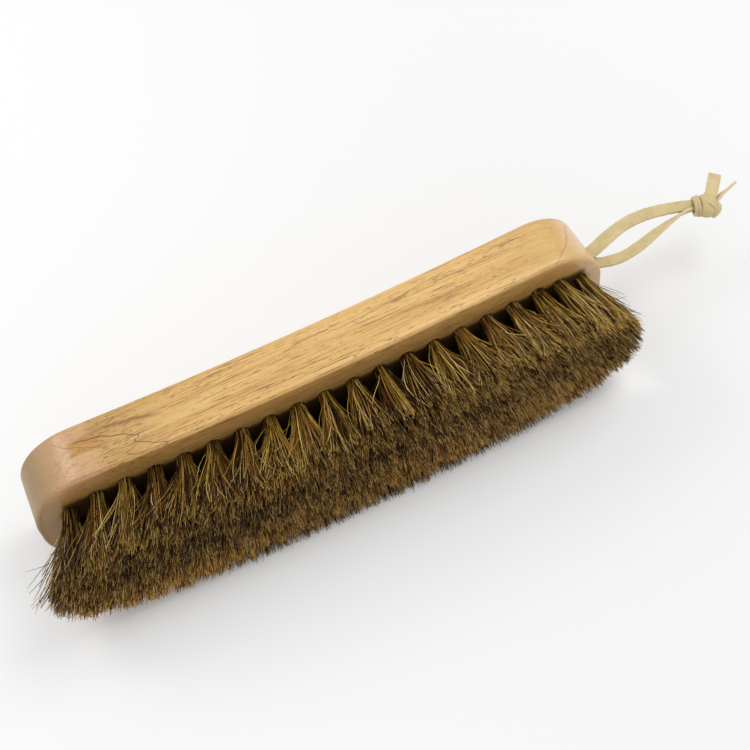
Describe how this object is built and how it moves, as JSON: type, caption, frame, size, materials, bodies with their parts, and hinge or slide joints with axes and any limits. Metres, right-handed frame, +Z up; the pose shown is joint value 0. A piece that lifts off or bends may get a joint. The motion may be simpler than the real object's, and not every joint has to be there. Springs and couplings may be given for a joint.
{
  "type": "clothes brush",
  "caption": "Clothes brush: a bowed varnished hardwood block with rows of flared horsehair tufts on one face and a knotted leather hanging thong at one end.",
  "frame": {"origin": "middle of the flat side face that the brush lies on", "axes": "+X along the block to the hanging thong, +Z up from the side face it lies on, bristles point to -Y"},
  "size_m": [0.266, 0.05, 0.046],
  "materials": {
    "wood": "clear satin varnish over a fine open grain",
    "horsehair": "golden brown to dark brown horsehair with a few pale and black hairs",
    "leather": "matt pale tan leather strip",
    "steel_wire": "plain drawn steel wire"
  },
  "bodies": {
    "block": {"block": "wood", "tuft_anchors": "steel_wire", "tuft_roots": "horsehair", "thong_pin": "steel_wire", "thong_bight": "leather"},
    "thong_root": {"thong_root": "leather"},
    "thong_loop": {"thong_upper_strand": "leather", "thong_lower_strand": "leather", "thong_knot": "leather", "thong_broad_tail": "leather", "thong_thin_tail": "leather"},
    "bristle_row_01": {"tuft_row_01": "horsehair"},
    "bristle_row_02": {"tuft_row_02": "horsehair"},
    "bristle_row_03": {"tuft_row_03": "horsehair"},
    "bristle_row_04": {"tuft_row_04": "horsehair"},
    "bristle_row_05": {"tuft_row_05": "horsehair"},
    "bristle_row_06": {"tuft_row_06": "horsehair"},
    "bristle_row_07": {"tuft_row_07": "horsehair"},
    "bristle_row_08": {"tuft_row_08": "horsehair"},
    "bristle_row_09": {"tuft_row_09": "horsehair"},
    "bristle_row_10": {"tuft_row_10": "horsehair"},
    "bristle_row_11": {"tuft_row_11": "horsehair"},
    "bristle_row_12": {"tuft_row_12": "horsehair"},
    "bristle_row_13": {"tuft_row_13": "horsehair"},
    "bristle_row_14": {"tuft_row_14": "horsehair"},
    "bristle_row_15": {"tuft_row_15": "horsehair"},
    "bristle_row_16": {"tuft_row_16": "horsehair"},
    "bristle_row_17": {"tuft_row_17": "horsehair"},
    "bristle_row_18": {"tuft_row_18": "horsehair"},
    "bristle_row_19": {"tuft_row_19": "horsehair"},
    "bristle_row_20": {"tuft_row_20": "horsehair"}
  },
  "joints": [
    {"name": "thong_lift", "type": "hinge", "parent": "block", "child": "thong_root", "pos_m": [0.1015, 0.0032, 0.023], "axis": [0, -1, 0], "range_deg": [-20, 75]},
    {"name": "thong_sway", "type": "hinge", "parent": "thong_root", "child": "thong_loop", "pos_m": [0.1062, 0.0026, 0.023], "axis": [0, 0, 1], "range_deg": [-25, 25]},
    {"name": "bristle_bend_01", "type": "hinge", "parent": "block", "child": "bristle_row_01", "pos_m": [-0.0885, -0.00769, 0.023], "axis": [0, 0, 1], "range_deg": [-12, 12]},
    {"name": "bristle_bend_02", "type": "hinge", "parent": "block", "child": "bristle_row_02", "pos_m": [-0.0789, -0.00811, 0.023], "axis": [0, 0, 1], "range_deg": [-12, 12]},
    {"name": "bristle_bend_03", "type": "hinge", "parent": "block", "child": "bristle_row_03", "pos_m": [-0.0693, -0.00849, 0.023], "axis": [0, 0, 1], "range_deg": [-12, 12]},
    {"name": "bristle_bend_04", "type": "hinge", "parent": "block", "child": "bristle_row_04", "pos_m": [-0.0597, -0.00881, 0.023], "axis": [0, 0, 1], "range_deg": [-12, 12]},
    {"name": "bristle_bend_05", "type": "hinge", "parent": "block", "child": "bristle_row_05", "pos_m": [-0.0501, -0.00909, 0.023], "axis": [0, 0, 1], "range_deg": [-12, 12]},
    {"name": "bristle_bend_06", "type": "hinge", "parent": "block", "child": "bristle_row_06", "pos_m": [-0.0405, -0.00932, 0.023], "axis": [0, 0, 1], "range_deg": [-12, 12]},
    {"name": "bristle_bend_07", "type": "hinge", "parent": "block", "child": "bristle_row_07", "pos_m": [-0.0309, -0.0095, 0.023], "axis": [0, 0, 1], "range_deg": [-12, 12]},
    {"name": "bristle_bend_08", "type": "hinge", "parent": "block", "child": "bristle_row_08", "pos_m": [-0.0213, -0.00963, 0.023], "axis": [0, 0, 1], "range_deg": [-12, 12]},
    {"name": "bristle_bend_09", "type": "hinge", "parent": "block", "child": "bristle_row_09", "pos_m": [-0.0117, -0.00971, 0.023], "axis": [0, 0, 1], "range_deg": [-12, 12]},
    {"name": "bristle_bend", "type": "hinge", "parent": "block", "child": "bristle_row_10", "pos_m": [-0.0021, -0.00975, 0.023], "axis": [0, 0, 1], "range_deg": [-12, 12]},
    {"name": "bristle_bend_11", "type": "hinge", "parent": "block", "child": "bristle_row_11", "pos_m": [0.0075, -0.00974, 0.023], "axis": [0, 0, 1], "range_deg": [-12, 12]},
    {"name": "bristle_bend_12", "type": "hinge", "parent": "block", "child": "bristle_row_12", "pos_m": [0.0171, -0.00967, 0.023], "axis": [0, 0, 1], "range_deg": [-12, 12]},
    {"name": "bristle_bend_13", "type": "hinge", "parent": "block", "child": "bristle_row_13", "pos_m": [0.0267, -0.00956, 0.023], "axis": [0, 0, 1], "range_deg": [-12, 12]},
    {"name": "bristle_bend_14", "type": "hinge", "parent": "block", "child": "bristle_row_14", "pos_m": [0.0363, -0.0094, 0.023], "axis": [0, 0, 1], "range_deg": [-12, 12]},
    {"name": "bristle_bend_15", "type": "hinge", "parent": "block", "child": "bristle_row_15", "pos_m": [0.0459, -0.0092, 0.023], "axis": [0, 0, 1], "range_deg": [-12, 12]},
    {"name": "bristle_bend_16", "type": "hinge", "parent": "block", "child": "bristle_row_16", "pos_m": [0.0555, -0.00894, 0.023], "axis": [0, 0, 1], "range_deg": [-12, 12]},
    {"name": "bristle_bend_17", "type": "hinge", "parent": "block", "child": "bristle_row_17", "pos_m": [0.0651, -0.00863, 0.023], "axis": [0, 0, 1], "range_deg": [-12, 12]},
    {"name": "bristle_bend_18", "type": "hinge", "parent": "block", "child": "bristle_row_18", "pos_m": [0.0747, -0.00828, 0.023], "axis": [0, 0, 1], "range_deg": [-12, 12]},
    {"name": "bristle_bend_19", "type": "hinge", "parent": "block", "child": "bristle_row_19", "pos_m": [0.083, -0.00794, 0.023], "axis": [0, 0, 1], "range_deg": [-12, 12]},
    {"name": "bristle_bend_20", "type": "hinge", "parent": "block", "child": "bristle_row_20", "pos_m": [0.0913, -0.00756, 0.023], "axis": [0, 0, 1], "range_deg": [-12, 12]}
  ],
  "couplings": [
    {"joint": "bristle_bend_01", "follows": "bristle_bend", "ratio": 1},
    {"joint": "bristle_bend_02", "follows": "bristle_bend", "ratio": 1},
    {"joint": "bristle_bend_03", "follows": "bristle_bend", "ratio": 1},
    {"joint": "bristle_bend_04", "follows": "bristle_bend", "ratio": 1},
    {"joint": "bristle_bend_05", "follows": "bristle_bend", "ratio": 1},
    {"joint": "bristle_bend_06", "follows": "bristle_bend", "ratio": 1},
    {"joint": "bristle_bend_07", "follows": "bristle_bend", "ratio": 1},
    {"joint": "bristle_bend_08", "follows": "bristle_bend", "ratio": 1},
    {"joint": "bristle_bend_09", "follows": "bristle_bend", "ratio": 1},
    {"joint": "bristle_bend_11", "follows": "bristle_bend", "ratio": 1},
    {"joint": "bristle_bend_12", "follows": "bristle_bend", "ratio": 1},
    {"joint": "bristle_bend_13", "follows": "bristle_bend", "ratio": 1},
    {"joint": "bristle_bend_14", "follows": "bristle_bend", "ratio": 1},
    {"joint": "bristle_bend_15", "follows": "bristle_bend", "ratio": 1},
    {"joint": "bristle_bend_16", "follows": "bristle_bend", "ratio": 1},
    {"joint": "bristle_bend_17", "follows": "bristle_bend", "ratio": 1},
    {"joint": "bristle_bend_18", "follows": "bristle_bend", "ratio": 1},
    {"joint": "bristle_bend_19", "follows": "bristle_bend", "ratio": 1},
    {"joint": "bristle_bend_20", "follows": "bristle_bend", "ratio": 1}
  ]
}
